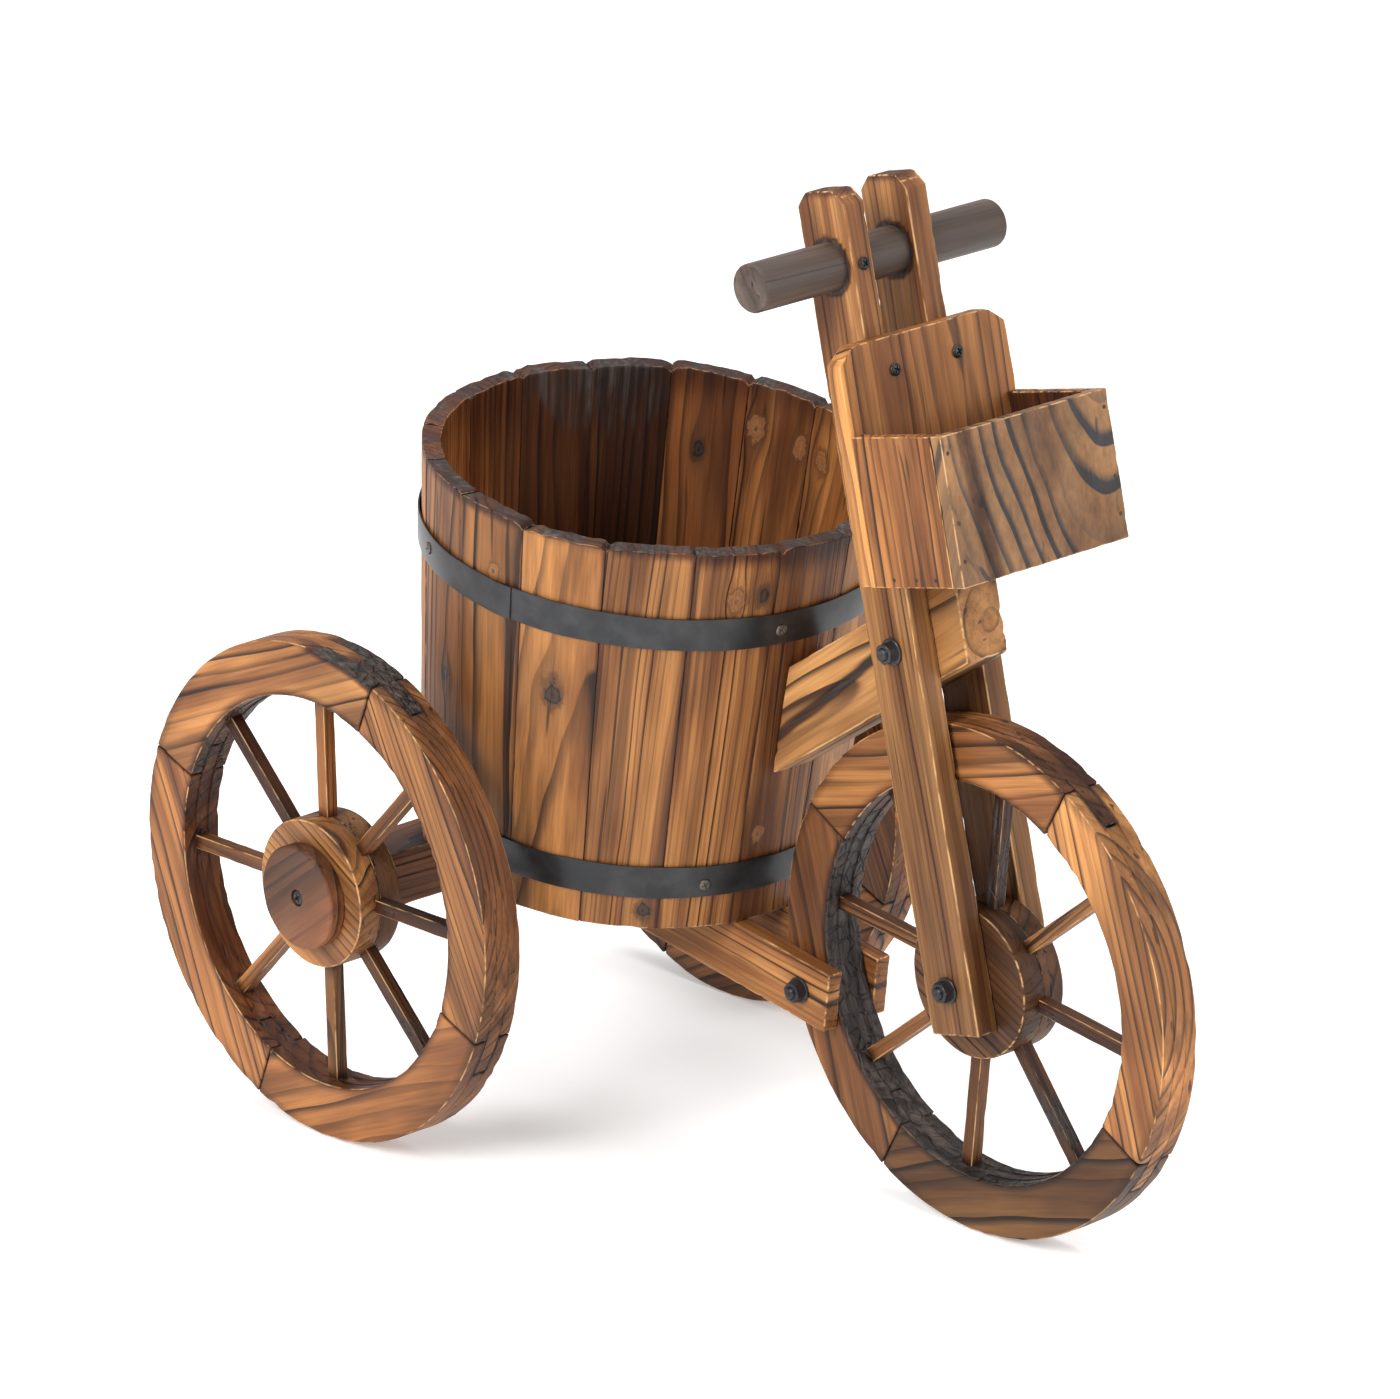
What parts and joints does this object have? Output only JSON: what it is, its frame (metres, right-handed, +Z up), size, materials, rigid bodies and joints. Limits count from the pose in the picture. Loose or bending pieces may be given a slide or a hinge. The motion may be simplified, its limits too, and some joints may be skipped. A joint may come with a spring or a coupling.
{
  "type": "tricycle barrel planter",
  "caption": "Rustic wooden tricycle planter: a hooped stave barrel and a small front box carried on three spoked wheels.",
  "frame": {"origin": "on the ground, midway between the front and rear axles, on the centre line", "axes": "+X to the tricycle's left, -Y forwards, +Z up"},
  "size_m": [0.3366, 0.61, 0.5358],
  "materials": {
    "fir": "torched fir, brushed and oiled, satin",
    "pale_fir": "lightly torched fir, brushed, satin",
    "burnt_fir": "deeply torched fir, matt",
    "dowel": "torched round bar, grey-brown, satin",
    "strap_steel": "satin charcoal paint",
    "black_steel": "black oxide, semi-gloss"
  },
  "bodies": {
    "frame": {"axle_beam": "burnt_fir", "barrel_floor": "burnt_fir", "beam_bolt": "black_steel", "beam_nut": "black_steel", "box_backboard": "fir", "box_bottom": "fir", "box_front": "fir", "box_screw_left": "black_steel", "box_screw_right": "black_steel", "box_side_left": "fir", "box_side_right": "fir", "fork_leg_left": "pale_fir", "fork_leg_right": "pale_fir", "front_axle_bolt": "black_steel", "front_axle_nut": "black_steel", "front_wheel_felloe_1": "fir", "front_wheel_felloe_2": "fir", "front_wheel_felloe_3": "fir", "front_wheel_felloe_4": "fir", "front_wheel_hub_with_spokes": "fir", "handlebar": "dowel", "handlebar_screw": "black_steel", "hoop_lower": "strap_steel", "hoop_upper": "strap_steel", "main_beam": "pale_fir", "rail_bolt": "black_steel", "rail_left": "pale_fir", "rail_nut": "black_steel", "rail_right": "pale_fir", "rear_wheel_left_screw": "black_steel", "rear_wheel_right_screw": "black_steel", "stave_01": "fir", "stave_02": "fir", "stave_03": "fir", "stave_04": "fir", "stave_05": "fir", "stave_06": "fir", "stave_07": "fir", "stave_08": "fir", "stave_09": "fir", "stave_10": "fir", "stave_11": "fir", "stave_12": "fir", "stave_13": "fir", "stave_14": "fir", "stave_15": "fir", "stave_16": "fir", "stave_17": "fir"},
    "rear_wheel_right": {"rear_wheel_right_cap": "burnt_fir", "rear_wheel_right_felloe_1": "fir", "rear_wheel_right_felloe_2": "fir", "rear_wheel_right_felloe_3": "fir", "rear_wheel_right_felloe_4": "fir", "rear_wheel_right_hub_with_spokes": "fir"},
    "rear_wheel_left": {"rear_wheel_left_cap": "burnt_fir", "rear_wheel_left_felloe_1": "fir", "rear_wheel_left_felloe_2": "fir", "rear_wheel_left_felloe_3": "fir", "rear_wheel_left_felloe_4": "fir", "rear_wheel_left_hub_with_spokes": "fir"}
  },
  "joints": [
    {"name": "rear_wheel_right_spin", "type": "hinge", "parent": "frame", "child": "rear_wheel_right", "pos_m": [-0.145, 0.17, 0.135], "axis": [1, 0, 0], "continuous": true},
    {"name": "rear_wheel_left_spin", "type": "hinge", "parent": "frame", "child": "rear_wheel_left", "pos_m": [0.145, 0.17, 0.135], "axis": [1, 0, 0], "continuous": true}
  ]
}
